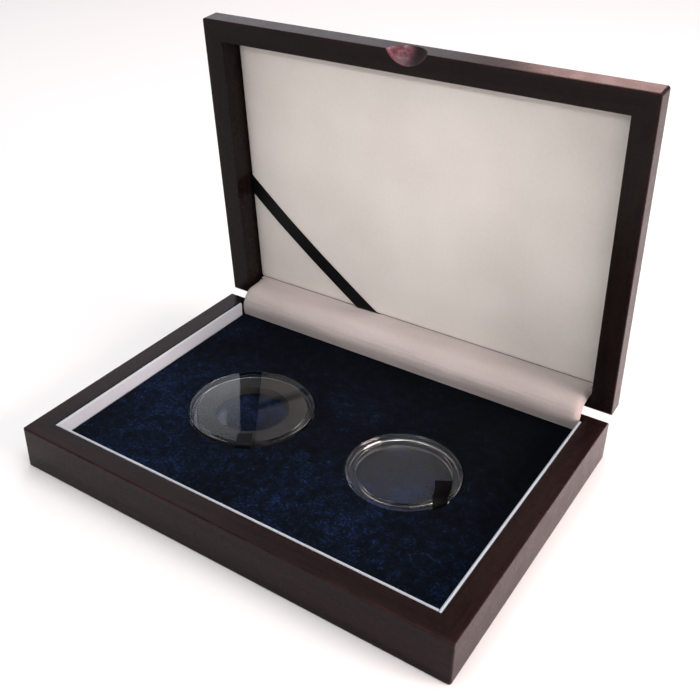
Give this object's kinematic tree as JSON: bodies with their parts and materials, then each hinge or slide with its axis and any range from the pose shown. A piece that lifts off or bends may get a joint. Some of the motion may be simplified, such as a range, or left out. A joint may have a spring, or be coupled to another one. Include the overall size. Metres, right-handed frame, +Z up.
{
  "type": "coin display case",
  "caption": "Hinged lacquered wooden coin case, open, with a velvet insert holding two clear capsules, a padded lid panel and a ribbon strap.",
  "frame": {"origin": "middle of the base's underside", "axes": "+X along the hinge to the right, +Y from the front towards the hinge, +Z up from the table"},
  "size_m": [0.17, 0.1354, 0.1381],
  "materials": {
    "lacquered_wood": "semi-gloss dark lacquer",
    "floor_board": "matt stained board",
    "liner_cloth": "fine cloth over card",
    "core_card": "raw pressed card",
    "velvet": "short-pile velvet",
    "cream_cloth": "fine matt cloth",
    "panel_card": "raw card",
    "ribbon": "satin weave",
    "hinge_brass": "plated",
    "pin_steel": "drawn wire",
    "clear_acrylic": "clear polished",
    "ring_foam": "fine closed-cell foam"
  },
  "bodies": {
    "base": {"base_front": "lacquered_wood", "base_rear": "lacquered_wood", "base_left": "lacquered_wood", "base_right": "lacquered_wood", "base_floor": "floor_board", "liner_front": "liner_cloth", "liner_left": "liner_cloth", "liner_right": "liner_cloth", "insert_core": "core_card", "velvet_cover": "velvet", "hinge_cover": "cream_cloth", "hinge_leaf_base_left": "hinge_brass", "hinge_leaf_base_right": "hinge_brass", "hinge_pin_left": "pin_steel", "hinge_pin_right": "pin_steel", "hinge_screws_base": "hinge_brass"},
    "lid": {"lid_front": "lacquered_wood", "lid_rear": "lacquered_wood", "lid_left": "lacquered_wood", "lid_right": "lacquered_wood", "lid_top": "lacquered_wood", "panel_board": "panel_card", "panel_pad": "cream_cloth", "certificate_ribbon": "ribbon", "hinge_leaf_lid_left": "hinge_brass", "hinge_leaf_lid_right": "hinge_brass", "hinge_screws_lid": "hinge_brass"},
    "left_capsule": {"capsule_left_cup": "clear_acrylic", "capsule_left_ring": "ring_foam"},
    "left_capsule_cover": {"capsule_left_cover": "clear_acrylic", "pull_ribbon_left": "ribbon"},
    "right_capsule": {"capsule_right_cup": "clear_acrylic"},
    "right_capsule_cover": {"capsule_right_cover": "clear_acrylic", "pull_ribbon_right": "ribbon"}
  },
  "joints": [
    {"name": "lid_hinge", "type": "hinge", "parent": "base", "child": "lid", "pos_m": [0, 0.0609, 0.01655], "axis": [1, 0, 0], "range_deg": [0, 84.6], "deforming": ["hinge_cover"]},
    {"name": "left_capsule_lift", "type": "slide", "parent": "base", "child": "left_capsule", "axis": [0, 0, 1], "range_m": [0, 0.0065]},
    {"name": "left_cover_lift", "type": "slide", "parent": "left_capsule", "child": "left_capsule_cover", "axis": [0, 0, 1], "range_m": [0, 0.005]},
    {"name": "right_capsule_lift", "type": "slide", "parent": "base", "child": "right_capsule", "axis": [0, 0, 1], "range_m": [0, 0.0065]},
    {"name": "right_cover_lift", "type": "slide", "parent": "right_capsule", "child": "right_capsule_cover", "axis": [0, 0, 1], "range_m": [0, 0.005]}
  ]
}
